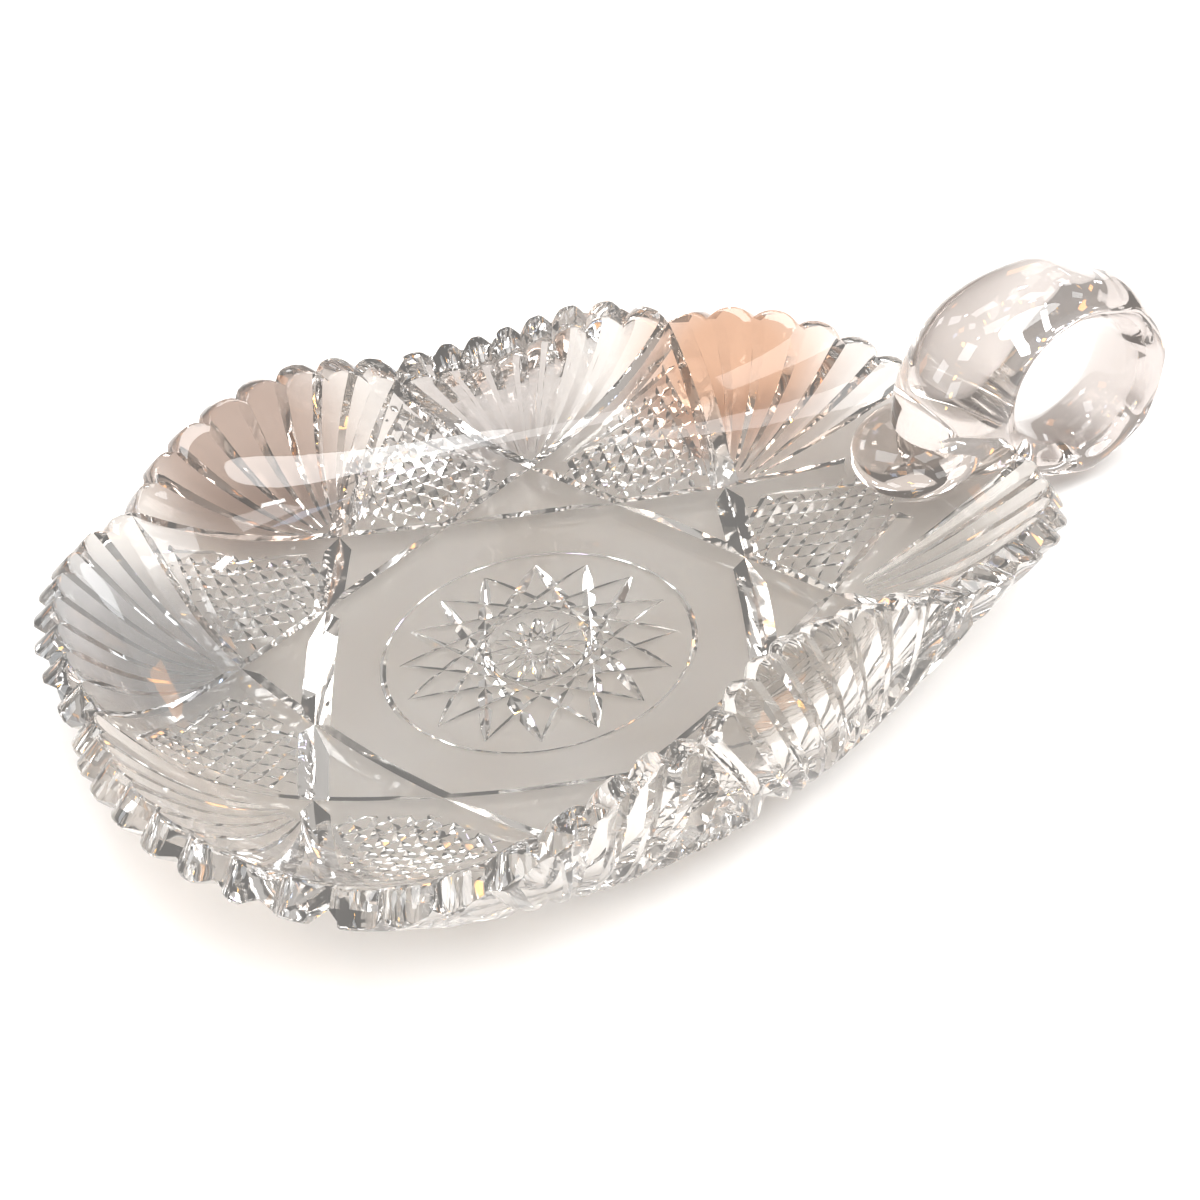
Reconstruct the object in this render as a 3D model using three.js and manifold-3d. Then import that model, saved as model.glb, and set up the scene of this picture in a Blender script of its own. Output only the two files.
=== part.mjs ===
// Cut-glass candy dish with one ring handle, in millimetres, Z up.
// The bowl is laid out as a flat disc, cut there, and then bent up into its three-cornered shape.
// The handle lies along +X, and the dish stands on the flat of its base at Z = 0.
import * as THREE from 'three';
import { mergeVertices } from 'three/addons/utils/BufferGeometryUtils.js';
import Module from 'manifold-3d';

// Blank of the bowl
const baseRadius = 24; // flat of the base that it stands on
const wallLength = 58.7; // base edge to the rim's highest points, along the outside
const floorThickness = 7;
const rimThickness = 5.3;
const footRound = 4; // length in which the wall leaves the base
const footSlope = 5.6; // degrees
const wallSlope = 10.6; // degrees that the wall gains from base to rim
const foldStart = 18.8; // distance from the base at which the turned-up sides begin
const foldEnd = 56; // distance from the base at which they are turned up in full
const foldAngle = 75; // degrees, for a fold of one
const foldWaves = [0.695, 0.008, -0.5, -0.331, 0.106, 0.067]; // fold round the bowl, cosines from the handle
const rimShift = 1.8; // how far the rim sits from the base's centre towards the handle

// Scalloped and toothed rim
const scallops = 8;
const scallopDepth = 5.8;
const scallopCurve = 0.6; // lower is fuller
const teeth = 8; // in one scallop
const toothDepth = 1.9;
const toothTop = 0.5; // share of a tooth that is its rounded top

// Cuts on the outside
const mitreReach = 34.5; // nearest distance of a long mitre cut to the centre
const mitreWidth = 4.6;
const mitreDepth = 2.2;
const fluteWidth = 6.4; // at the rim
const fluteDepth = 1.7; // at the rim
const fluteStart = 5; // distance from the fan's foot to its cuts
const starPoints = 16;
const starSkip = 6; // points that one cut of the star passes
const starReach = 21.5; // points of the star in the base
const starWidth = 2.1;
const starDepth = 1;

// Ring handle
const holeRadius = 10.9; // finger hole
const ringBar = 6.4; // bar's thickness across the hole, at the far side
const ringWidth = 16.1; // bar's width along the hole, at the far side
const rootBar = 19; // both where the ring sits over the rim, before the rim is cut out of it
const rootWidth = 21.5;
const rootTurn = 195; // degrees round the ring, from its far side over the top
const rootSpreadTop = 140; // degrees over which the bar thickens, over the top
const rootSpreadUnder = 45; // and underneath
const ringOut = 17.8; // centre of the ring, out from the rim's valley
const ringUp = 8.1; // centre of the ring, up from the rim's valley
const panels = 8; // flat panels cut round the ring
const panelTurn = 5; // degrees round the ring to a corner between two panels
const panelShare = 0.7; // 0 leaves the ring round, 1 makes the panels quite flat
const padIn = 7.4; // middle of the pad over the inside of the rim, in from the rim's valley
const padLength = 20;
const padWidth = 26;
const padHeight = 4.2; // above the inside of the bowl
const seatGap = 0.35; // between the handle and the bowl

// Fineness
const columns = 64;
const rows = 11; // from the base edge to the rim
const ringSteps = 48;
const barSteps = 16;
const padSteps = 28;

const degree = Math.PI / 180;
const rimReach = baseRadius + wallLength;
const step = (2 * Math.PI) / scallops;
const valleyReach = rimReach - scallopDepth;

const wasm = await Module();
wasm.setup();

// Share from 0 to 1 with soft ends
function soft(value) {
  const share = Math.min(1, Math.max(0, value));
  return share * share * (3 - 2 * share);
}

// How far the rim is turned up at an angle from the handle
function foldAt(angle) {
  return foldWaves.reduce((sum, wave, index) => sum + wave * Math.cos(index * angle), 0);
}

// Slope of the wall in radians, a distance along it from the base edge
function slopeAt(distance, angle) {
  if (distance <= 0) {
    return 0;
  }
  const foot = footSlope * soft(distance / footRound);
  const wall = (wallSlope * distance) / wallLength;
  return (foot + wall + foldAngle * foldAt(angle) * foldShare(distance)) * degree;
}

// Share of the fold that a distance along the wall has
function foldShare(distance) {
  return soft((distance - foldStart) / (foldEnd - foldStart));
}

// Radius, height and slope of the outside at a distance along the wall
function wallAt(distance, angle) {
  if (distance <= 0) {
    return { radius: baseRadius + distance, height: 0, slope: 0 };
  }
  const count = Math.max(4, Math.ceil(distance * 2));
  const length = distance / count;
  let radius = baseRadius;
  let height = 0;
  for (let index = 0; index < count; index += 1) {
    const slope = slopeAt((index + 0.5) * length, angle);
    radius += length * Math.cos(slope);
    height += length * Math.sin(slope);
  }
  return { radius, height, slope: slopeAt(distance, angle) };
}

// Moves a point of the flat disc, with its depth into the glass as z, to its place on the bowl
function bend(point) {
  const reach = Math.hypot(point.x, point.y);
  const angle = Math.atan2(point.y, point.x);
  const wall = wallAt(reach - baseRadius, angle);
  const radius = wall.radius - point.z * Math.sin(wall.slope);
  const height = wall.height + point.z * Math.cos(wall.slope);
  const shift = rimShift * foldShare(reach - baseRadius);
  return new THREE.Vector3(radius * Math.cos(angle) + shift, radius * Math.sin(angle), height);
}

// Thickness of the glass at a reach from the centre of the flat disc
function thicknessAt(reach) {
  return floorThickness + ((rimThickness - floorThickness) * reach) / rimReach;
}

function polar(reach, angle, depth) {
  return new THREE.Vector3(reach * Math.cos(angle), reach * Math.sin(angle), depth);
}

// Solid from shared points and triangles
function solidOf(points, faces) {
  const vertProperties = new Float32Array(points.flatMap((point) => [point.x, point.y, point.z]));
  const triVerts = new Uint32Array(faces.flat());
  return new wasm.Manifold(new wasm.Mesh({ numProp: 3, vertProperties, triVerts }));
}

// Closed fan of triangles between two rings of points that run the same way round
function bridge(faces, inner, outer, angleOf, flip) {
  let left = 0;
  let right = 0;
  while (left < inner.length || right < outer.length) {
    const nextLeft = left < inner.length ? angleOf(inner, left + 1) : Infinity;
    const nextRight = right < outer.length ? angleOf(outer, right + 1) : Infinity;
    const a = inner[left % inner.length];
    const b = outer[right % outer.length];
    let face;
    if (nextRight <= nextLeft) {
      right += 1;
      face = [a, b, outer[right % outer.length]];
    } else {
      left += 1;
      face = [a, b, inner[left % inner.length]];
    }
    faces.push(flip ? [face[0], face[2], face[1]] : face);
  }
}

// Rim outline of one turn: angle and reach of each point
function toothedOutline() {
  const outline = [];
  const pitch = step / teeth;
  for (let scallop = 0; scallop < scallops; scallop += 1) {
    for (let tooth = 0; tooth < teeth; tooth += 1) {
      const start = scallop * step + tooth * pitch;
      const shoulder = ((1 - toothTop) / 2) * pitch;
      const notch = tooth === 0 || fromHandle(start) < rootAngle ? 0 : toothDepth;
      outline.push({ angle: start, reach: scallopReach(start) - notch });
      outline.push({ angle: start + shoulder, reach: scallopReach(start + shoulder) });
      outline.push({ angle: start + pitch - shoulder, reach: scallopReach(start + pitch - shoulder) });
    }
  }
  return outline;
}

// Angle from the handle, to either side
function fromHandle(angle) {
  return Math.abs(Math.atan2(Math.sin(angle), Math.cos(angle)));
}

// Reach of the scalloped rim before its teeth
function scallopReach(angle) {
  const turn = Math.abs(Math.sin((angle * scallops) / 2));
  return rimReach - scallopDepth * (1 - turn ** scallopCurve);
}

// Flat disc between two depths, with its outline and one row of points for each reach
function discSolid(outline, lowAt, highAt) {
  const reaches = [baseRadius * 0.36, baseRadius * 0.7, baseRadius];
  for (let row = 1; row <= rows; row += 1) {
    reaches.push(baseRadius + ((wallLength - scallopDepth - toothDepth - 2) * row) / rows);
  }
  const points = [];
  const faces = [];
  const rims = [];
  for (const side of [lowAt, highAt]) {
    const flip = side === lowAt;
    const rings = reaches.map((reach) => {
      const ring = [];
      for (let column = 0; column < columns; column += 1) {
        ring.push(points.length);
        points.push(polar(reach, (column * 2 * Math.PI) / columns, side(reach)));
      }
      return ring;
    });
    rings.push(
      outline.map((place) => {
        points.push(polar(place.reach, place.angle, side(place.reach)));
        return points.length - 1;
      }),
    );
    const angleOf = (ring, index) => {
      if (index >= ring.length) {
        return 2 * Math.PI;
      }
      return ring === rings[rings.length - 1] ? outline[index].angle : (index * 2 * Math.PI) / columns;
    };
    const centre = points.length;
    points.push(polar(0, 0, side(0)));
    rings[0].forEach((point, index) => {
      const next = rings[0][(index + 1) % columns];
      faces.push(flip ? [centre, next, point] : [centre, point, next]);
    });
    for (let row = 1; row < rings.length; row += 1) {
      bridge(faces, rings[row - 1], rings[row], angleOf, flip);
    }
    rims.push(rings[rings.length - 1]);
  }
  const [low, high] = rims;
  low.forEach((point, index) => {
    const next = (index + 1) % low.length;
    faces.push([point, low[next], high[next]]);
    faces.push([point, high[next], high[index]]);
  });
  return solidOf(points, faces);
}

// Wedge that cuts a V along a path on the flat disc: each station has x, y, width and depth
function wedge(path) {
  const points = [];
  const faces = [];
  path.forEach((station, index) => {
    const before = path[Math.max(0, index - 1)];
    const after = path[Math.min(path.length - 1, index + 1)];
    const along = new THREE.Vector2(after.x - before.x, after.y - before.y).normalize();
    const half = (station.width / 2) * (1 + 1 / station.depth);
    points.push(new THREE.Vector3(station.x - along.y * half, station.y + along.x * half, -1));
    points.push(new THREE.Vector3(station.x + along.y * half, station.y - along.x * half, -1));
    points.push(new THREE.Vector3(station.x, station.y, station.depth));
  });
  const last = 3 * (path.length - 1);
  faces.push([0, 1, 2], [last, last + 2, last + 1]);
  for (let index = 0; index < path.length - 1; index += 1) {
    for (let side = 0; side < 3; side += 1) {
      const a = 3 * index + side;
      const b = 3 * index + ((side + 1) % 3);
      faces.push([a, b + 3, b], [a, a + 3, b + 3]);
    }
  }
  return solidOf(points, faces);
}

// Where the handle's root ends on each side of it, and below it
const rootAngle = Math.atan((rootWidth / 2 + 1) / rimReach);
const rootFoot = rimReach - rootBar;

// Long mitre cuts: each runs from one valley of the rim to the third one on
const valleyTurn = 1.5 * step;
const mitreBend = Math.acos(mitreReach / valleyReach) / valleyTurn;
const footReach = mitreReach / Math.cos(mitreBend * step);

function mitreCut(middle) {
  const path = [];
  const count = 30;
  for (let index = 0; index <= count; index += 1) {
    const turn = ((2 * index) / count - 1) * valleyTurn * 1.012;
    const reach = mitreReach / Math.cos(mitreBend * turn);
    const angle = middle + turn;
    if (fromHandle(angle) > 2 * rootAngle || reach < rootFoot) {
      const place = polar(reach, angle, 0);
      path.push({ x: place.x, y: place.y, width: mitreWidth, depth: mitreDepth });
    }
  }
  return wedge(path);
}

// One flute of a fan, from the fan's foot to a notch of the rim
function fluteCut(middle, angle) {
  const foot = polar(footReach, middle, 0);
  const end = polar(rimReach + 1, angle, 0);
  const length = foot.distanceTo(end);
  const path = [];
  const count = 5;
  for (let index = 0; index <= count; index += 1) {
    const share = index / count;
    const place = foot.clone().lerp(end, (fluteStart + (length - fluteStart) * share) / length);
    const grow = 0.12 + 0.88 * share;
    path.push({ x: place.x, y: place.y, width: fluteWidth * grow, depth: fluteDepth * grow });
  }
  return wedge(path);
}

// One cut of the star in the base, between two of its points
function starCut(index) {
  const from = polar(starReach, (index * 2 * Math.PI) / starPoints, 0);
  const to = polar(starReach, ((index + starSkip) * 2 * Math.PI) / starPoints, 0);
  const path = [0, 0.1, 0.5, 0.9, 1].map((share) => {
    const place = from.clone().lerp(to, share);
    const grow = share === 0 || share === 1 ? 0.3 : 1;
    return { x: place.x, y: place.y, width: starWidth * grow, depth: starDepth * grow };
  });
  return wedge(path);
}

// Mesh of a flat solid after it is bent, or of a finished one as it is
function meshOf(solid, name, material, place) {
  const data = solid.getMesh();
  const positions = new Float32Array(data.numVert * 3);
  for (let index = 0; index < data.numVert; index += 1) {
    const start = index * data.numProp;
    const point = new THREE.Vector3().fromArray(data.vertProperties, start);
    (place ? place(point) : point).toArray(positions, index * 3);
  }
  const geometry = new THREE.BufferGeometry();
  geometry.setAttribute('position', new THREE.BufferAttribute(positions, 3));
  geometry.setIndex(Array.from(data.triVerts));
  const merged = mergeVertices(geometry, 1e-5);
  merged.computeVertexNormals();
  const mesh = new THREE.Mesh(merged, material);
  mesh.name = name;
  return mesh;
}

const glass = new THREE.MeshStandardMaterial({ color: 0xe8e4de, roughness: 0.05, metalness: 0 });
const handleGlass = new THREE.MeshStandardMaterial({ color: 0xeae3dc, roughness: 0.04, metalness: 0 });

// Bowl
const cuts = [];
for (let scallop = 0; scallop < scallops; scallop += 1) {
  const middle = (scallop + 0.5) * step;
  cuts.push(mitreCut(middle));
  for (let notch = 1; notch < teeth; notch += 1) {
    const angle = scallop * step + (notch * step) / teeth;
    if (fromHandle(angle) > rootAngle) {
      cuts.push(fluteCut(middle, angle));
    }
  }
}
for (let index = 0; index < starPoints; index += 1) {
  cuts.push(starCut(index));
}
const blank = discSolid(toothedOutline(), () => 0, thicknessAt);
const bowl = meshOf(blank.subtract(wasm.Manifold.union(cuts)), 'bowl', glass, bend);

// Reach of the panelled ring against a round one, at an angle round it
function panelAt(angle) {
  const pitch = (2 * Math.PI) / panels;
  const turn = (angle - panelTurn * degree) / pitch;
  const fromMiddle = (turn - Math.floor(turn) - 0.5) * pitch;
  const flat = Math.cos(pitch / 2) / Math.cos(fromMiddle);
  return 1 + panelShare * (flat / Math.sqrt(Math.cos(pitch / 2)) - 1);
}

// Pad of the handle: a flat drop of oval outline, laid out on the flat disc and bent with the bowl
function padSolid() {
  const shares = [1, 0.96, 0.85, 0.65, 0.35];
  const points = [];
  const faces = [];
  const place = (share, turn, rise) => {
    const x = valleyReach - padIn + (padLength / 2) * share * Math.cos(turn);
    const y = (padWidth / 2) * share * Math.sin(turn);
    points.push(bend(new THREE.Vector3(x, y, thicknessAt(Math.hypot(x, y)) + rise)));
  };
  const rises = shares.map((share) => seatGap + padHeight * Math.sqrt(1 - share * share));
  [1, ...shares].forEach((share, row) => {
    for (let column = 0; column < padSteps; column += 1) {
      place(share, (column * 2 * Math.PI) / padSteps, row === 0 ? -1 : rises[row - 1]);
    }
  });
  const below = points.length;
  place(0, 0, -1);
  place(0, 0, seatGap + padHeight);
  for (let column = 0; column < padSteps; column += 1) {
    const next = (column + 1) % padSteps;
    faces.push([below, next, column]);
    for (let row = 0; row < shares.length; row += 1) {
      const here = row * padSteps;
      faces.push([here + column, here + next, here + padSteps + next]);
      faces.push([here + column, here + padSteps + next, here + padSteps + column]);
    }
    const top = shares.length * padSteps;
    faces.push([top + column, top + next, below + 1]);
  }
  return solidOf(points, faces);
}

// Ring handle: an oval bar carried round a circle, thick and wide where it sits over the rim
const seat = bend(polar(valleyReach, 0, 0));
const ringCentre = new THREE.Vector3(seat.x + ringOut, 0, seat.z + ringUp);
const ringPoints = [];
const ringFaces = [];
for (let turn = 0; turn < ringSteps; turn += 1) {
  const angle = (turn * 2 * Math.PI) / ringSteps + panelTurn * degree;
  const fromRoot = angle / degree - rootTurn;
  const root = soft(1 - Math.abs(fromRoot) / (fromRoot < 0 ? rootSpreadTop : rootSpreadUnder));
  const half = (ringWidth + (rootWidth - ringWidth) * root) / 2;
  const thick = (ringBar + (rootBar - ringBar) * root) / 2;
  for (let bar = 0; bar < barSteps; bar += 1) {
    const around = (bar * 2 * Math.PI) / barSteps;
    const outer = (1 + Math.cos(around)) / 2;
    const reach = (holeRadius + 2 * thick * outer) * (1 + (panelAt(angle) - 1) * outer * (1 - root));
    const x = ringCentre.x + reach * Math.cos(angle);
    const z = ringCentre.z + reach * Math.sin(angle);
    ringPoints.push(new THREE.Vector3(x, half * Math.sin(around), z));
    const next = ((turn + 1) % ringSteps) * barSteps;
    const here = turn * barSteps;
    const side = (bar + 1) % barSteps;
    ringFaces.push([here + bar, next + side, next + bar], [here + bar, here + side, next + side]);
  }
}
const seatOutline = toothedOutline().map(({ angle }) => ({ angle, reach: scallopReach(angle) + seatGap }));
const seatBlock = discSolid(seatOutline, () => -seatGap, (reach) => thicknessAt(reach) + seatGap);
const seatMesh = meshOf(seatBlock, 'seat', glass, bend);
const seatPoints = [];
for (let index = 0; index < seatMesh.geometry.attributes.position.count; index += 1) {
  seatPoints.push(new THREE.Vector3().fromBufferAttribute(seatMesh.geometry.attributes.position, index));
}
const seatFaces = [];
for (let index = 0; index < seatMesh.geometry.index.count; index += 3) {
  seatFaces.push(Array.from(seatMesh.geometry.index.array.slice(index, index + 3)));
}
const ring = solidOf(ringPoints, ringFaces).add(padSolid()).subtract(solidOf(seatPoints, seatFaces));
const ringHandle = meshOf(ring, 'ring_handle', handleGlass);

const dish = new THREE.Group();
dish.name = 'candy_dish';
dish.add(bowl, ringHandle);
export default dish;
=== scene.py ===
import bpy
import numpy as np
from mathutils import Matrix


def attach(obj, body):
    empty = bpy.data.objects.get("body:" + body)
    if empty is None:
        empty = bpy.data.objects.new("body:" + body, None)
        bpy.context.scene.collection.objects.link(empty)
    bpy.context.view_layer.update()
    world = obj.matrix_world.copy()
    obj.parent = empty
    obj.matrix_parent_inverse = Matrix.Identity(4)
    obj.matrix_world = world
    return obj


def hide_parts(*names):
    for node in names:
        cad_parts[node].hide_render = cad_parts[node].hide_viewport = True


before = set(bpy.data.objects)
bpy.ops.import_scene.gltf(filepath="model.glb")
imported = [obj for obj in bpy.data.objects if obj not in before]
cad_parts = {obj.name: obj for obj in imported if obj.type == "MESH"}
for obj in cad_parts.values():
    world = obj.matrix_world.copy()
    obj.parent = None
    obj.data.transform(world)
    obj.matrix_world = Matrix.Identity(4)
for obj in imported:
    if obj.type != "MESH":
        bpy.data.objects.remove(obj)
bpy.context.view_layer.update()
print("frame loaded:", sorted(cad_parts))

mm = 0.001
fullTurn = 2 * np.pi


class Shade:
    # one socket of a material's nodes; sums, differences, products and powers add Math nodes
    def __init__(self, tree, socket=None):
        self.tree = tree
        self.socket = socket

    def node(self, kind, settings=None, inputs=None, output=0):
        made = self.tree.nodes.new(kind)
        for name, value in (settings or {}).items():
            if name == "stops":  # colour ramp: place and colour of each stop
                ramp = made.color_ramp
                while len(ramp.elements) < len(value):
                    ramp.elements.new(0.5)
                for element, (place, colour) in zip(ramp.elements, value):
                    element.position = place
                    element.color = colour
            else:
                setattr(made, name, value)
        for name, value in (inputs or {}).items():
            if isinstance(value, Shade):
                self.tree.links.new(value.socket, made.inputs[name])
            else:
                made.inputs[name].default_value = value
        return Shade(self.tree, made.outputs[output]) if len(made.outputs) else made

    def math(self, operation, left, right):
        return self.node("ShaderNodeMath", {"operation": operation}, {0: left, 1: right})

    def __add__(self, other):
        return self.math("ADD", self, other)

    def __radd__(self, other):
        return self.math("ADD", other, self)

    def __sub__(self, other):
        return self.math("SUBTRACT", self, other)

    def __rsub__(self, other):
        return self.math("SUBTRACT", other, self)

    def __mul__(self, other):
        return self.math("MULTIPLY", self, other)

    def __rmul__(self, other):
        return self.math("MULTIPLY", other, self)

    def __pow__(self, other):
        return self.math("POWER", self, other)


def newMaterial(name):
    material = bpy.data.materials.new(name)
    material.use_nodes = True
    material.node_tree.nodes.clear()
    return material, Shade(material.node_tree)


def newPiece(name, points, faces):
    mesh = bpy.data.meshes.new(name)
    mesh.from_pydata(np.asarray(points).tolist(), [], faces)
    mesh.validate()
    piece = bpy.data.objects.new(name, mesh)
    bpy.context.scene.collection.objects.link(piece)
    return piece


def gridFaces(rowCount, columnCount):
    # four-cornered faces of a grid that closes on itself across its columns
    row, column = np.meshgrid(np.arange(rowCount - 1), np.arange(columnCount), indexing="ij")
    here = row * columnCount + column
    beside = row * columnCount + (column + 1) % columnCount
    return np.stack([here, beside, beside + columnCount, here + columnCount], -1).reshape(-1, 4)


def closedGrid(points):
    # points and faces of a grid that closes across its columns, with one face over each end
    rowCount, columnCount = points.shape[:2]
    index = np.arange(rowCount * columnCount).reshape(rowCount, columnCount)
    caps = [index[0, ::-1].tolist(), index[-1].tolist()]
    return points.reshape(-1, 3), gridFaces(rowCount, columnCount).tolist() + caps


def loopedGrid(points):
    # points and faces of a grid that closes both ways
    rowCount, columnCount = points.shape[:2]
    faces = gridFaces(rowCount + 1, columnCount) % (rowCount * columnCount)
    return points.reshape(-1, 3), faces.tolist()


def softShare(value):
    # 0 to 1 with level ends: three squares less two cubes
    share = np.clip(value, 0, 1)
    return share * share * (3 - 2 * share)


def cutAway(piece, cutters, operation="DIFFERENCE"):
    # takes each cutter out of the piece in turn, or adds it, then makes the result the piece's own mesh
    tools = []
    for points, faces in cutters:
        tool = newPiece("cutter", points, faces)
        step = piece.modifiers.new("cut", "BOOLEAN")
        step.operation = operation
        step.solver = "MANIFOLD"
        step.object = tool
        tools.append(tool)
    ready = piece.evaluated_get(bpy.context.evaluated_depsgraph_get())
    cut = bpy.data.meshes.new_from_object(ready)
    piece.modifiers.clear()
    plain = piece.data
    piece.data = cut
    cut.name = piece.name
    bpy.data.meshes.remove(plain)
    for tool in tools:
        mesh = tool.data
        bpy.data.objects.remove(tool)
        bpy.data.meshes.remove(mesh)


def readPoints(mesh):
    flat = np.empty(len(mesh.vertices) * 3, np.float32)
    mesh.vertices.foreach_get("co", flat)
    return flat.reshape(-1, 3).astype(float)


def shadeByAngle(piece, degrees):
    piece.data.shade_smooth()
    piece.data.set_sharp_from_angle(angle=np.radians(degrees))
    piece.data.update()


# The bowl is laid out as a flat disc in millimetres: reach and angle from the centre,
# and depth into the glass as z. It is cut there and bent up afterwards. The handle lies at angle 0.
bowlShape = {
    "baseRadius": 24.0,  # flat of the base
    "wallLength": 58.7,  # base edge to rim, along the outside
    "floorThickness": 7.0,
    "rimThickness": 5.3,
    "footRound": 4.0,
    "footSlope": 5.6,  # degrees
    "wallSlope": 10.6,  # degrees gained from base to rim
    "foldStart": 18.8,  # where the turned-up sides begin
    "foldEnd": 56.0,  # and where they are turned up in full
    "foldAngle": 75.0,  # degrees, for a fold of one
    "foldWaves": (0.695, 0.008, -0.5, -0.331, 0.106, 0.067),  # cosines round the bowl
    "rimShift": 1.8,  # towards the handle
    "scallops": 8,
    "scallopDepth": 5.8,
    "scallopCurve": 0.6,
    "teeth": 8,  # in one scallop
    "toothDepth": 1.9,
    "toothCurve": 2.4,  # higher is squarer
    "toothFade": 1.2,  # higher brings the teeth back sooner beside a valley
    "rimRound": 0.7,
    "rootWidth": 21.5,  # handle's root, where the rim stays whole
    "rootBar": 19.0,
    "rootFade": 4.0,  # higher brings the teeth back sooner beside the root
    "columnsPerTooth": 8,
    "baseRows": 7,
    "wallRows": 30,
    "rimRows": 4,
    "pullStart": 0.72,  # share of the reach from which the rows follow the rim
    "innermost": 0.02,  # reach of the first and last row
    "bendParts": 96,  # steps of the sum along the wall
    "sharpAngle": 22.0,  # degrees
}
rimReach = bowlShape["baseRadius"] + bowlShape["wallLength"]
scallopStep = fullTurn / bowlShape["scallops"]
rootAngle = np.arctan((bowlShape["rootWidth"] / 2 + 1) / rimReach)


def foldShare(distance):
    return softShare((distance - bowlShape["foldStart"]) / (bowlShape["foldEnd"] - bowlShape["foldStart"]))


def wallSlopeAt(distance, angle):
    # radians: a quick turn out of the base, a steady gain up the wall, and the fold of the sides
    waves = bowlShape["foldWaves"]
    fold = sum(wave * np.cos(index * angle) for index, wave in enumerate(waves))
    foot = bowlShape["footSlope"] * softShare(distance / bowlShape["footRound"])
    wall = bowlShape["wallSlope"] * distance / bowlShape["wallLength"]
    return np.radians(foot + wall + bowlShape["foldAngle"] * fold * foldShare(distance)) * (distance > 0)


def bendUp(flat):
    # radius and height are the sums of the slope's cosine and sine along the wall; depth goes square to it
    reach = np.hypot(flat[:, 0], flat[:, 1])
    angle = np.arctan2(flat[:, 1], flat[:, 0])
    distance = np.maximum(reach - bowlShape["baseRadius"], 0)
    parts = bowlShape["bendParts"]
    along = distance[:, None] * (np.arange(parts) + 0.5) / parts
    slopes = wallSlopeAt(along, angle[:, None])
    radius = np.minimum(reach, bowlShape["baseRadius"]) + distance * np.cos(slopes).mean(1)
    height = distance * np.sin(slopes).mean(1)
    slope = wallSlopeAt(distance, angle)
    radius = radius - flat[:, 2] * np.sin(slope)
    height = height + flat[:, 2] * np.cos(slope)
    shift = bowlShape["rimShift"] * foldShare(distance)
    return np.stack([radius * np.cos(angle) + shift, radius * np.sin(angle), height], -1)


def fromHandle(angle):
    return np.abs(np.arctan2(np.sin(angle), np.cos(angle)))


def scallopReach(angle):
    # a power of a sine between the valleys of the rim
    wave = np.abs(np.sin(angle * bowlShape["scallops"] / 2)) ** bowlShape["scallopCurve"]
    return rimReach - bowlShape["scallopDepth"] * (1 - wave)


def rimOutline(angle):
    # teeth are a power curve inside each scallop; they fade out at the valleys and at the handle
    free = softShare(bowlShape["rootFade"] * (fromHandle(angle) / rootAngle - 1))
    place = np.mod(angle / (scallopStep / bowlShape["teeth"]), 1)
    notch = np.abs(2 * place - 1) ** bowlShape["toothCurve"]
    fade = fullTurn / bowlShape["teeth"] / bowlShape["toothFade"]
    valley = softShare(fromHandle(angle * bowlShape["scallops"]) / fade)
    return scallopReach(angle) - bowlShape["toothDepth"] * notch * valley * free


def discSurface(outlineAt, lowDepth, highAt, columnCount, roundness):
    # one closed grid: out along the underside, round the rim and back to the centre along the inside
    angle = np.arange(columnCount) * fullTurn / columnCount
    outline = outlineAt(angle)
    base = bowlShape["baseRadius"]
    inward = np.linspace(bowlShape["innermost"], base, bowlShape["baseRows"])[:-1]
    share = np.concatenate([inward, np.linspace(base, rimReach, bowlShape["wallRows"])]) / rimReach
    corner = np.linspace(0, np.pi / 2, bowlShape["rimRows"])[1:]
    pull = softShare((share - bowlShape["pullStart"]) / (1 - bowlShape["pullStart"]))[:, None]
    reach = share[:, None] * rimReach + (outline[None] - roundness - rimReach) * pull
    turnOut = outline[None] - roundness + roundness * np.sin(corner)[:, None]
    thickness = highAt(outline)[None]
    low = np.concatenate([np.full(reach.shape, lowDepth), np.full(turnOut.shape, lowDepth)
                          + roundness * (1 - np.cos(corner))[:, None]])
    reaches = np.concatenate([reach, turnOut])
    inner = np.concatenate([highAt(reach), thickness - roundness * (1 - np.cos(corner))[:, None]])
    reaches = np.concatenate([reaches, reaches[::-1]])
    depth = np.concatenate([low, inner[::-1]])
    return closedGrid(np.stack([reaches * np.cos(angle), reaches * np.sin(angle), depth], -1))


def thicknessAt(reach):
    gain = bowlShape["rimThickness"] - bowlShape["floorThickness"]
    return bowlShape["floorThickness"] + gain * reach / rimReach


def wedges(places, widths, depths):
    # V cuts carried along paths: places are paths by stations by x and y
    lift = cuts["lift"]
    along = np.gradient(places, axis=1)
    along = along / np.linalg.norm(along, axis=2, keepdims=True)
    side = np.stack([-along[..., 1], along[..., 0]], -1)
    half = (widths / 2 * (1 + lift / depths))[..., None]
    up = np.full(widths.shape + (1,), -lift)
    left = np.concatenate([places + side * half, up], -1)
    right = np.concatenate([places - side * half, up], -1)
    bottom = np.concatenate([places, depths[..., None]], -1)
    points = np.stack([left, right, bottom], 2)  # paths, stations, corners
    pathCount, stationCount = widths.shape
    start = 3 * stationCount * np.arange(pathCount)
    here = (start[:, None] + 3 * np.arange(stationCount - 1)[None]).ravel()
    sides = np.concatenate([
        np.stack([here + a, here + a + 3, here + b + 3, here + b], -1) for a, b in ((0, 1), (1, 2), (2, 0))])
    end = start + 3 * (stationCount - 1)
    caps = np.concatenate([np.stack([start, start + 1, start + 2], -1),
                           np.stack([end, end + 2, end + 1], -1)])
    return points.reshape(-1, 3), sides.tolist() + caps.tolist()


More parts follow.
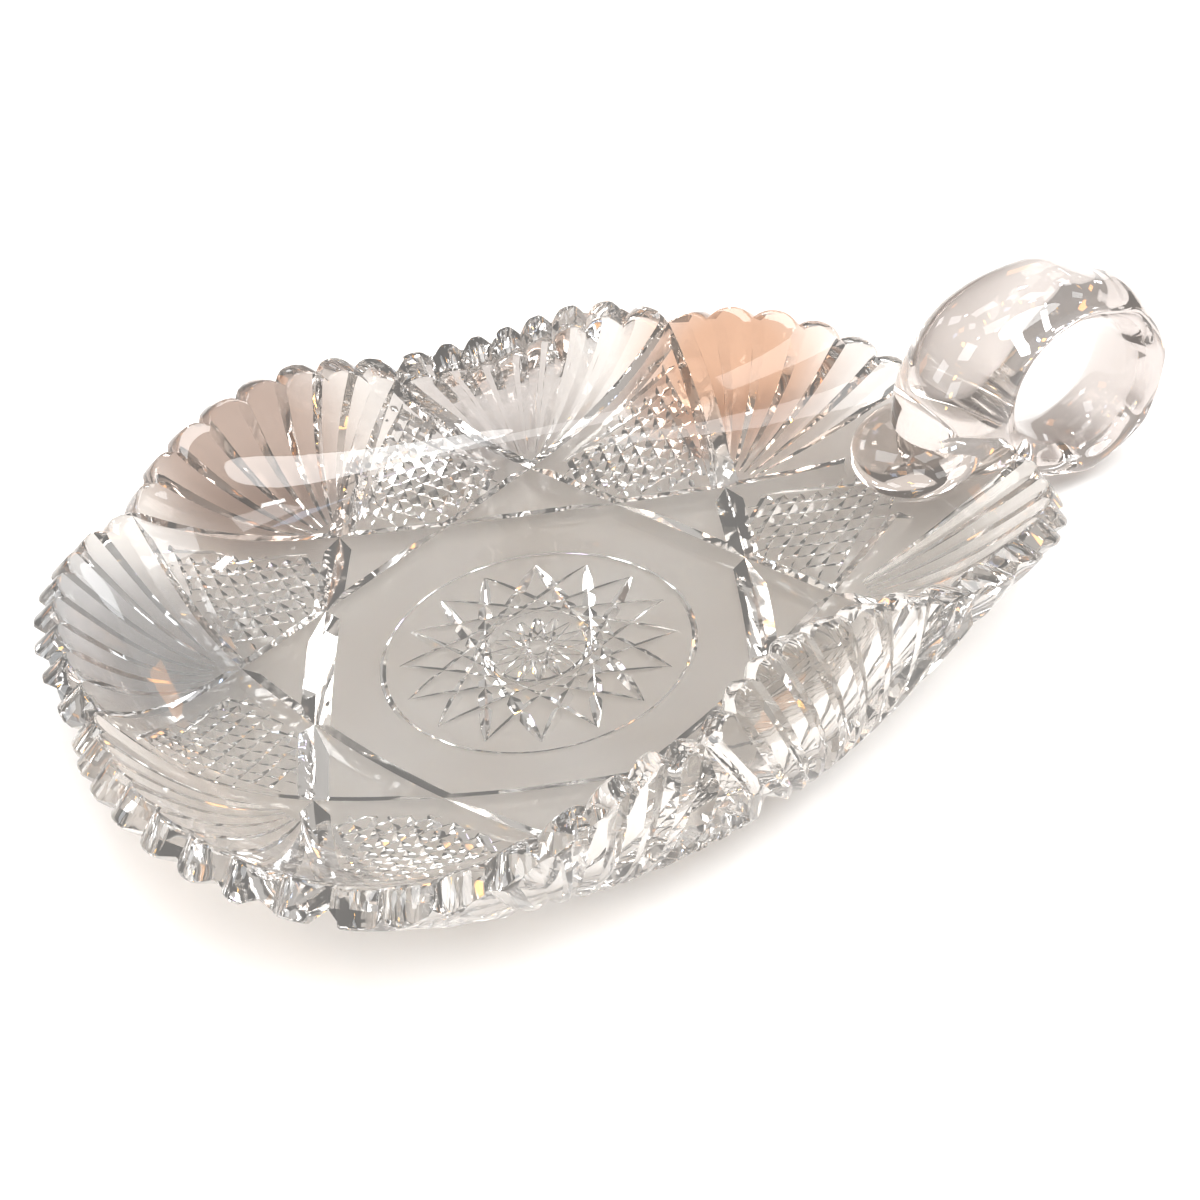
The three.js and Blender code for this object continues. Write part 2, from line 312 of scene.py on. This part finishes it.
# Cuts on the outside of the bowl, in millimetres on the flat disc
cuts = {
    "lift": 0.3,  # how far a cutter stands above the surface
    "stations": 13,  # along a straight cut of a star or lattice
    "mitreReach": 34.5,  # nearest distance of a long mitre to the centre
    "mitreWidth": 4.6,
    "mitreDepth": 2.2,
    "mitreRun": 1.012,  # runs out past the valleys
    "mitreStations": 61,
    "fluteWidth": 6.4,  # at the rim
    "fluteDepth": 1.7,
    "fluteStart": 5.0,  # from the fan's foot
    "fluteTip": 0.12,  # share of width and depth where it starts
    "fluteRun": 1.0,  # past the rim
    "fluteStations": 9,
    "star": {"points": 16, "skip": 6, "reach": 21.5, "width": 2.2, "depth": 1.05},  # skip: points passed
    "hob": {"points": 16, "skip": 7, "reach": 8.4, "width": 0.9, "depth": 0.4},  # small star in the middle
    "starTip": 0.2,  # share of width and depth at the ends
    "starFullness": 5,  # higher stays wide for longer
    "baseRing": 24.2,  # fine groove round the base
    "baseRingWidth": 1.0,
    "baseRingDepth": 0.35,
    "baseRingSteps": 192,
    "latticePitch": 2.7,  # crossed cuts in the kites
    "latticeWidth": 2.15,
    "latticeDepth": 1.0,
    "latticeTurn": 38.0,  # degrees from the kite's own axis
    "latticeMargin": 2.7,  # plain border inside the mitres
    "latticeLines": 12,  # to each side of the kite's middle, before clipping
    "latticeShortest": 2.0,
    "latticeTip": 0.25,  # share of width and depth at the ends
    "latticeTaper": 6.0,  # higher is a shorter end
}
valleyTurn = 1.5 * scallopStep
mitreBend = np.arccos(cuts["mitreReach"] / (rimReach - bowlShape["scallopDepth"])) / valleyTurn


def onDisc(reach, angle):
    return np.stack([reach * np.cos(angle), reach * np.sin(angle)], -1)


def mitreReachAt(turn):
    return cuts["mitreReach"] / np.cos(mitreBend * turn)


def mitreCuts():
    # each runs from one valley of the rim to the third one on, bowed in towards the base
    made = []
    for scallop in range(bowlShape["scallops"]):
        turn = np.linspace(-cuts["mitreRun"], cuts["mitreRun"], cuts["mitreStations"]) * valleyTurn
        reach = mitreReachAt(turn)
        angle = (scallop + 0.5) * scallopStep + turn
        kept = (fromHandle(angle) > 2 * rootAngle) | (reach < rimReach - bowlShape["rootBar"])
        places = onDisc(reach[kept], angle[kept])[None]
        flat = np.ones((1, kept.sum()))
        made.append(wedges(places, flat * cuts["mitreWidth"], flat * cuts["mitreDepth"]))
    return made


def fluteCuts():
    # straight cuts from a fan's foot to the notches of its scallop, growing wider and deeper
    scallop, notch = np.meshgrid(np.arange(bowlShape["scallops"]), np.arange(1, bowlShape["teeth"]),
                                 indexing="ij")
    middle = ((scallop + 0.5) * scallopStep).ravel()
    angle = (scallop * scallopStep + notch * scallopStep / bowlShape["teeth"]).ravel()
    kept = fromHandle(angle) > rootAngle
    foot = onDisc(mitreReachAt(scallopStep), middle[kept])
    end = onDisc(rimReach + cuts["fluteRun"], angle[kept])
    length = np.linalg.norm(end - foot, axis=1, keepdims=True)
    begin = foot + (end - foot) * cuts["fluteStart"] / length
    share = np.linspace(0, 1, cuts["fluteStations"])
    places = begin[:, None] + (end - begin)[:, None] * share[None, :, None]
    tip = cuts["fluteTip"]
    grow = np.repeat((tip + (1 - tip) * share)[None], kept.sum(), 0)
    return [wedges(places, grow * cuts["fluteWidth"], grow * cuts["fluteDepth"])]


def starCuts(points, skip, reach, width, depth):
    # straight cuts between the points of a star, thinning to each end
    made = []
    share = np.linspace(0, 1, cuts["stations"])
    tip = cuts["starTip"]
    swell = (tip + (1 - tip) * (1 - np.abs(2 * share - 1) ** cuts["starFullness"]))[None]
    for index in range(points):
        start = onDisc(reach, index * fullTurn / points)
        end = onDisc(reach, (index + skip) * fullTurn / points)
        places = (start + (end - start) * share[:, None])[None]
        made.append(wedges(places, swell * width, swell * depth))
    return made


def baseRingCut():
    # a ring of V section, closed on itself
    angle = np.arange(cuts["baseRingSteps"]) * fullTurn / cuts["baseRingSteps"]
    middle, deep, lift = cuts["baseRing"], cuts["baseRingDepth"], cuts["lift"]
    half = cuts["baseRingWidth"] / 2 * (1 + lift / deep)
    corners = [(middle + half, -lift), (middle, deep), (middle - half, -lift)]
    return [loopedGrid(np.stack([
        np.stack([reach * np.cos(angle), reach * np.sin(angle), depth + 0 * angle], -1)
        for reach, depth in corners]))]


def latticeCuts():
    # two crossing sets of parallel cuts, each clipped to the kite between four mitres less its border
    rim = rimReach - bowlShape["scallopDepth"]
    foot = mitreReachAt(scallopStep)
    side = onDisc(foot, scallopStep / 2)
    corners = np.array([[mitreReachAt(scallopStep / 2), 0], [side[0], -side[1]],
                        [rim, 0], [side[0], side[1]]])
    edges = np.roll(corners, -1, 0) - corners
    normals = np.stack([-edges[:, 1], edges[:, 0]], -1) / np.linalg.norm(edges, axis=1, keepdims=True)
    limits = (normals * corners).sum(1) + cuts["latticeMargin"]  # inside where the product is larger
    middle = corners.mean(0)
    made = []
    for turn in (cuts["latticeTurn"], -cuts["latticeTurn"]):
        along = onDisc(1.0, np.radians(turn))
        across = np.array([-along[1], along[0]])
        offset = np.arange(-cuts["latticeLines"], cuts["latticeLines"] + 1) * cuts["latticePitch"]
        origin = middle + offset[:, None] * across
        rate = normals @ along
        room = (limits[None] - origin @ normals.T) / rate[None]
        low = np.where(rate[None] > 0, room, -np.inf).max(1)
        high = np.where(rate[None] < 0, room, np.inf).min(1)
        kept = high - low > cuts["latticeShortest"]
        share = np.linspace(0, 1, cuts["stations"])
        spot = low[kept, None] + (high - low)[kept, None] * share
        local = origin[kept, None] + spot[..., None] * along
        tip = cuts["latticeTip"]
        taper = np.minimum(1, cuts["latticeTaper"] * np.minimum(share, 1 - share))
        swell = np.repeat((tip + (1 - tip) * taper)[None], kept.sum(), 0)
        turns = np.arange(bowlShape["scallops"]) * scallopStep
        cosine, sine = np.cos(turns)[:, None, None], np.sin(turns)[:, None, None]
        x = local[None, ..., 0] * cosine - local[None, ..., 1] * sine
        y = local[None, ..., 0] * sine + local[None, ..., 1] * cosine
        places = np.stack([x, y], -1).reshape(-1, len(share), 2)
        swell = np.tile(swell, (bowlShape["scallops"], 1))
        made.append(wedges(places, swell * cuts["latticeWidth"], swell * cuts["latticeDepth"]))
    return made


columnCount = bowlShape["scallops"] * bowlShape["teeth"] * bowlShape["columnsPerTooth"]
bowl = newPiece("bowl_cut", *discSurface(rimOutline, 0.0, thicknessAt, columnCount, bowlShape["rimRound"]))
print("blank:", len(bowl.data.polygons), "faces")
cutAway(bowl, mitreCuts() + fluteCuts())
cutAway(bowl, starCuts(**cuts["star"]))
cutAway(bowl, starCuts(**cuts["hob"]))
cutAway(bowl, baseRingCut())
cutAway(bowl, latticeCuts())
bent = bendUp(readPoints(bowl.data)) * mm
bowl.data.vertices.foreach_set("co", bent.astype(np.float32).ravel())
shadeByAngle(bowl, bowlShape["sharpAngle"])
bowl.data.calc_loop_triangles()
print("bowl:", len(bowl.data.loop_triangles), "triangles")

# Ring handle: an oval bar carried round an upright circle, thicker and wider where it meets the rim
ringShape = {
    "holeRadius": 10.9,
    "bar": 6.4,  # thickness across the hole, at the far side
    "width": 16.1,  # along the hole
    "rootTurn": 195.0,  # degrees round the ring, from its far side over the top
    "rootSpreadTop": 140.0,
    "rootSpreadUnder": 45.0,
    "out": 17.8,  # centre, out from the rim's valley
    "up": 8.1,
    "panels": 8,  # flat panels cut round the ring
    "panelTurn": 5.0,  # degrees to a corner between two panels
    "panelShare": 0.7,
    "panelSoft": 0.88,  # share of a panel that is flat, the rest is its softened corner
    "padIn": 7.4,  # pad over the inside of the rim, in from the rim's valley
    "padLength": 20.0,
    "padWidth": 26.0,
    "padHeight": 4.2,
    "padSunk": -1.0,  # underside of the pad, within the glass that is taken out for the seat
    "padRows": 18,
    "padSteps": 96,
    "innermost": 0.02,  # share of the pad's size at its first and last row
    "seatGap": 0.12,
    "seatColumns": 512,
    "steps": 192,
    "barSteps": 56,
    "sharpAngle": 30.0,  # degrees
}


def panelAt(angle):
    # an eight-cornered outline against a round one
    pitch = fullTurn / ringShape["panels"]
    fromMiddle = (np.mod((angle - np.radians(ringShape["panelTurn"])) / pitch, 1) - 0.5) * pitch
    fromMiddle = np.clip(fromMiddle, -ringShape["panelSoft"] * pitch / 2, ringShape["panelSoft"] * pitch / 2)
    flat = np.cos(pitch / 2) / np.cos(fromMiddle)
    return 1 + ringShape["panelShare"] * (flat / np.sqrt(np.cos(pitch / 2)) - 1)


def padSurface():
    # a flat drop of oval outline on the flat disc; its height is that of a half circle
    share = np.sin(np.linspace(np.pi / 2, ringShape["innermost"], ringShape["padRows"]))
    share = np.concatenate([[ringShape["innermost"], 1.0], share])[:, None]
    rise = ringShape["seatGap"] + ringShape["padHeight"] * np.sqrt(1 - share ** 2)
    rise[:2] = ringShape["padSunk"]
    turn = (np.arange(ringShape["padSteps"]) * fullTurn / ringShape["padSteps"])[None]
    middle = rimReach - bowlShape["scallopDepth"] - ringShape["padIn"]
    x = middle + ringShape["padLength"] / 2 * share * np.cos(turn)
    y = ringShape["padWidth"] / 2 * share * np.sin(turn)
    points, faces = closedGrid(np.stack([x, y, thicknessAt(np.hypot(x, y)) + rise], -1))
    return bendUp(points), faces


def ringSurface():
    # centre plus reach along the circle; reach swings by the bar's thickness, the width by its sine
    seat = bendUp(np.array([[rimReach - bowlShape["scallopDepth"], 0.0, 0.0]]))[0]
    angle = (np.arange(ringShape["steps"]) * fullTurn / ringShape["steps"])[:, None]
    angle = angle + np.radians(ringShape["panelTurn"])
    around = (np.arange(ringShape["barSteps"]) * fullTurn / ringShape["barSteps"])[None]
    offTurn = np.degrees(angle) - ringShape["rootTurn"]
    spread = np.where(offTurn < 0, ringShape["rootSpreadTop"], ringShape["rootSpreadUnder"])
    root = softShare(1 - np.abs(offTurn) / spread)
    half = (ringShape["width"] + (bowlShape["rootWidth"] - ringShape["width"]) * root) / 2
    thick = (ringShape["bar"] + (bowlShape["rootBar"] - ringShape["bar"]) * root) / 2
    outer = (1 + np.cos(around)) / 2
    reach = (ringShape["holeRadius"] + 2 * thick * outer) * (1 + (panelAt(angle) - 1) * outer * (1 - root))
    x = seat[0] + ringShape["out"] + reach * np.cos(angle)
    z = seat[2] + ringShape["up"] + reach * np.sin(angle)
    y = half * np.sin(around) + 0 * angle
    return loopedGrid(np.stack([x, y, z], -1))


ring = newPiece("ring_bent", *ringSurface())
gap = ringShape["seatGap"]
seatPoints, seatFaces = discSurface(lambda angle: scallopReach(angle) + gap, -gap,
                                    lambda reach: thicknessAt(reach) + gap,
                                    ringShape["seatColumns"], bowlShape["rimRound"])
cutAway(ring, [padSurface()], "UNION")
cutAway(ring, [(bendUp(seatPoints), seatFaces)])
ringPoints = readPoints(ring.data) * mm
ring.data.vertices.foreach_set("co", ringPoints.astype(np.float32).ravel())
shadeByAngle(ring, ringShape["sharpAngle"])
ring.data.calc_loop_triangles()
print("ring:", len(ring.data.loop_triangles), "triangles")


def clearGlass(name, finish):
    # heavy clear crystal: a slow drift of tint, spots of painted shade and painted warm reflection mixed
    # into the tint, fine polishing marks in the gloss, and a faint waviness
    material, shade = newMaterial(name)
    place = shade.node("ShaderNodeTexCoord", output="Object")
    drift, polish, wave = (
        shade.node("ShaderNodeTexNoise", inputs={"Vector": place, "Scale": scale, "Detail": detail})
        for scale, detail in (finish["drift"], finish["polish"], finish["wave"]))
    tint = shade.node("ShaderNodeMix", {"data_type": "RGBA"},
                      {"Factor": drift, "A": finish["tint"], "B": finish["tintWarm"]}, output=2)
    # painted shade and painted reflection: each spot mixes a darker or warmer colour into the tint round a
    # point
    for colour, middle, inner, outer in finish["paintedLightSpots"]:
        away = shade.node("ShaderNodeVectorMath", {"operation": "DISTANCE"},
                          {0: place, 1: middle}, output="Value")
        inside = shade.node("ShaderNodeMapRange", {"interpolation_type": "SMOOTHSTEP"},
                            {"Value": away, "From Min": outer, "From Max": inner})
        tint = shade.node("ShaderNodeMix", {"data_type": "RGBA"},
                          {"Factor": inside, "A": tint, "B": colour}, output=2)
    rough = finish["rough"] + finish["roughGain"] * polish ** finish["roughPower"]
    bump = shade.node("ShaderNodeBump", inputs={"Height": wave, "Strength": finish["waveStrength"],
                                                "Distance": finish["waveHeight"]})
    glass = shade.node("ShaderNodeBsdfPrincipled", inputs={
        "Base Color": tint, "Roughness": rough, "Normal": bump, "IOR": finish["bending"],
        "Transmission Weight": 1.0, "Emission Color": finish["paintedGlow"], "Emission Strength": 1.0})
    shade.node("ShaderNodeOutputMaterial", inputs={"Surface": glass})
    return material


bowlFinish = {
    "tint": (0.78, 0.775, 0.765, 1),
    "tintWarm": (0.65, 0.61, 0.565, 1),
    "paintedLightSpots": [  # painted shade and painted warm reflection in four fans, laid in as deeper tint: colour, middle, radius that is full and where it ends, in metres
        ((0.54, 0.33, 0.22, 1), (0.056, 0.039, 0.014), 0.008, 0.024),
        ((0.46, 0.435, 0.42, 1), (0.016, 0.056, 0.019), 0.008, 0.026),
        ((0.34, 0.265, 0.225, 1), (-0.026, 0.058, 0.019), 0.010, 0.027),
        ((0.43, 0.435, 0.44, 1), (-0.058, 0.022, 0.017), 0.010, 0.029),
    ],
    "paintedGlow": (0.030, 0.029, 0.028, 1),  # painted glow: emission that stands in for light that has crossed the glass many times
    "drift": (40.0, 2.0),  # scale and detail of the noise
    "polish": (900.0, 4.0),
    "wave": (120.0, 1.0),
    "waveStrength": 0.15,
    "waveHeight": 0.0004,
    "rough": 0.012,
    "roughGain": 0.10,
    "roughPower": 3.0,
    "bending": 1.545,
}
handleFinish = {
    "tint": (0.74, 0.705, 0.68, 1),
    "tintWarm": (0.62, 0.56, 0.515, 1),
    "paintedLightSpots": [((0.58, 0.54, 0.52, 1), (0.100, 0, 0.022), 0.016, 0.036)],  # painted shade on the far side of the ring
    # painted glow, as on the bowl
    "paintedGlow": (0.034, 0.031, 0.029, 1),
    "drift": (55.0, 2.0),  # scale and detail of the noise
    "polish": (700.0, 4.0),
    "wave": (90.0, 1.0),
    "waveStrength": 0.2,
    "waveHeight": 0.0005,
    "rough": 0.01,
    "roughGain": 0.07,
    "roughPower": 3.0,
    "bending": 1.545,
}
for piece, name, finish, node, slot in (
        (bowl, "cut crystal", bowlFinish, "bowl", "bowl_glass"),
        (ring, "handle crystal", handleFinish, "ring_handle", "handle_glass")):
    piece.data.materials.clear()
    piece.data.materials.append(clearGlass(name, finish))
    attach(piece, "root")
    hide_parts(node)
print("finishes done")

# Pale floor, a wide plain sheet a hair below the base
floorLook = {"size": 4.0, "drop": 0.0003, "pale": (0.80, 0.797, 0.793, 1), "rough": 0.7}
edge, level = floorLook["size"], -floorLook["drop"]
floorCorners = [(-edge, -edge, level), (edge, -edge, level), (edge, edge, level), (-edge, edge, level)]
floor = newPiece("floor", floorCorners, [[0, 1, 2, 3]])
floorMaterial, shade = newMaterial("pale floor")
sheet = shade.node("ShaderNodeBsdfPrincipled", inputs={
    "Base Color": floorLook["pale"], "Roughness": floorLook["rough"]})
shade.node("ShaderNodeOutputMaterial", inputs={"Surface": sheet})
floor.data.materials.append(floorMaterial)

# Soft surround: grey and a little warm, slightly paler overhead, and pale low on the handle's near side
surround = {
    "stops": [(0.0, (0.54, 0.51, 0.48, 1)), (0.3, (0.55, 0.53, 0.51, 1)), (1.0, (0.57, 0.56, 0.55, 1))],
    "pale": (0.95, 0.89, 0.83, 1),
    "paleTowards": (0.70, -0.68, 0.20),
    "paleFrom": 0.62,  # cosines of the angle at which it starts and is full
    "paleFull": 0.97,
    "strength": 1.0,
}
world = bpy.data.worlds.new("studio")
world.use_nodes = True
world.node_tree.nodes.clear()
sky = Shade(world.node_tree)
towards = sky.node("ShaderNodeTexCoord", output="Generated")
height = sky.node("ShaderNodeSeparateXYZ", inputs={"Vector": towards}, output="Z")
glow = sky.node("ShaderNodeValToRGB", {"stops": surround["stops"]}, {"Fac": height})
along = sky.node("ShaderNodeVectorMath", {"operation": "DOT_PRODUCT"},
                 {0: towards, 1: surround["paleTowards"]}, output="Value")
near = sky.node("ShaderNodeMapRange", {"interpolation_type": "SMOOTHSTEP"},
                {"Value": along, "From Min": surround["paleFrom"], "From Max": surround["paleFull"]})
glow = sky.node("ShaderNodeMix", {"data_type": "RGBA"},
                {"Factor": near, "A": glow, "B": surround["pale"]}, output=2)
back = sky.node("ShaderNodeBackground", inputs={"Color": glow, "Strength": surround["strength"]})
sky.node("ShaderNodeOutputWorld", inputs={"Surface": back})
bpy.context.scene.world = world

# Studio lamps: azimuth and elevation in degrees, distance and size in metres, brightness, colour
lamps = {
    "top": (-110, 82, 0.9, (0.30, 0.26), 3.6, (1, 1, 1)),
    "near": (-155, 22, 0.9, (0.28, 0.18), 5.0, (0.95, 0.98, 1)),
    "fill": (-165, 50, 1.0, (0.34, 0.24), 6.0, (0.97, 0.985, 1)),
    "side": (165, 30, 0.9, (0.22, 0.22), 5.0, (0.92, 0.96, 1)),
    "right": (-15, 38, 0.9, (0.24, 0.24), 5.0, (0.95, 0.98, 1)),
    "paneOne": (20, 43, 1.0, (0.20, 0.24), 3.8, (0.95, 0.98, 1)),
    "paneTwo": (108, 44, 1.0, (0.18, 0.24), 3.8, (0.92, 0.96, 1)),
    "paneThree": (82, 64, 1.0, (0.24, 0.16), 3.6, (1, 1, 1)),
    "paneFour": (135, 68, 1.0, (0.16, 0.14), 3.8, (0.95, 0.98, 1)),
    "paneFive": (22, 63, 1.0, (0.20, 0.14), 3.8, (1, 1, 1)),
    "paneSix": (35, 14, 1.0, (0.12, 0.08), 3.4, (0.94, 0.97, 1)),
    "paneSeven": (100, 22, 1.0, (0.14, 0.12), 4.6, (0.97, 0.98, 1)),
    "sparkOne": (98, 55, 0.9, (0.05, 0.05), 21, (1, 1, 1)),
    "sparkTwo": (-100, 74, 0.9, (0.05, 0.05), 18, (1, 1, 1)),
    "sparkThree": (46, 51, 0.9, (0.05, 0.05), 21, (1, 0.98, 0.95)),
    "sparkFour": (-160, 66, 0.9, (0.05, 0.05), 18, (1, 1, 1)),
    "sparkFive": (-35, 24, 0.9, (0.05, 0.05), 21, (1, 0.98, 0.95)),
    "sparkSix": (5, 66, 0.9, (0.05, 0.05), 21, (1, 1, 1)),
    "amberLeft": (128, 18, 0.7, (0.14, 0.10), 2.4, (1, 0.40, 0.12)),
    "amberRight": (52, 22, 0.7, (0.10, 0.10), 2.2, (1, 0.42, 0.12)),
    "amberNear": (-75, 10, 0.6, (0.16, 0.07), 2.4, (1, 0.5, 0.14)),
    "amberHigh": (-60, 74, 0.9, (0.10, 0.08), 4, (1, 0.48, 0.10)),
    "amberFar": (84, 27, 1.0, (0.09, 0.06), 2.5, (1, 0.42, 0.10)),
    "amberBack": (135, 56, 0.9, (0.10, 0.10), 4, (1, 0.45, 0.12)),
    "amberSide": (12, 27, 0.9, (0.10, 0.08), 4, (1, 0.5, 0.12)),
    "glintOne": (-162, 31, 0.9, (0.07, 0.05), 22, (1, 0.55, 0.12)),
    "glintTwo": (-156, 18, 0.9, (0.07, 0.06), 22, (1, 0.55, 0.12)),
    "glintThree": (-157, 8, 0.9, (0.07, 0.04), 22, (1, 0.55, 0.12)),
    "glintFour": (172, 52, 0.9, (0.10, 0.05), 22, (1, 0.50, 0.10)),
    "blue": (140, 48, 0.9, (0.08, 0.08), 4, (0.5, 0.66, 1)),
    "blueRight": (48, 62, 0.9, (0.07, 0.07), 4, (0.55, 0.72, 1)),
    "violet": (35, 77, 0.9, (0.07, 0.07), 4, (0.72, 0.62, 1)),
}
# Key light from the camera's side, wide and even over the whole floor: degrees, and metres for its distance
keyLight = {"azimuth": -70.0, "elevation": 58.0, "width": 39.0, "strength": 2.75, "distance": 2.0}


def facing(azimuth, elevation):
    # three directions of something that looks at the centre: to its right, above it, and out from the centre
    turn, rise = np.radians(azimuth), np.radians(elevation)
    out = np.array([np.cos(turn) * np.cos(rise), np.sin(turn) * np.cos(rise), np.sin(rise)])
    level = np.array([-np.sin(turn), np.cos(turn), 0])
    return level, np.cross(out, level), out


def setUp(name, data, right, above, out, stand):
    # an object with these three axes, at this place
    thing = bpy.data.objects.new(name, data)
    axes = np.column_stack([right, above, out, stand])
    thing.matrix_world = Matrix(axes.tolist() + [[0, 0, 0, 1]])
    bpy.context.scene.collection.objects.link(thing)
    return thing


for name, (azimuth, elevation, distance, size, brightness, colour) in lamps.items():
    lamp = bpy.data.lights.new(name, "AREA")
    lamp.shape = "RECTANGLE"
    lamp.size, lamp.size_y = size
    lamp.energy = brightness * np.pi * size[0] * size[1]
    lamp.color = colour
    right, above, out = facing(azimuth, elevation)
    setUp(name, lamp, right, above, out, out * distance)
lamp = bpy.data.lights.new("key", "SUN")
lamp.angle = np.radians(keyLight["width"])
lamp.energy = keyLight["strength"]
right, above, out = facing(keyLight["azimuth"], keyLight["elevation"])
setUp("key", lamp, right, above, out, out * keyLight["distance"])

# Camera at the photograph's angle, in millimetres and degrees
view = {"azimuth": -109.85, "elevation": 36.96, "distance": 310.327, "roll": -8.852,
        "right": -7.377, "up": -9.731, "side": 1.83, "lens": 60.0, "sensor": 36.0, "nearest": 10.0}
level, upright, out = facing(view["azimuth"], view["elevation"])
roll = np.radians(view["roll"])
right = np.cos(roll) * level + np.sin(roll) * upright
above = np.cos(roll) * upright - np.sin(roll) * level
stand = (out * view["distance"] - right * view["right"] - above * view["up"] + [view["side"], 0, 0]) * mm
lens = bpy.data.cameras.new("camera")
lens.sensor_width = view["sensor"]
lens.lens = view["lens"]
lens.clip_start = view["nearest"] * mm
bpy.context.scene.camera = setUp("camera", lens, right, above, out, stand)
bpy.context.scene.view_settings.view_transform = "Standard"
print("camera and light done")

bpy.context.view_layer.update()
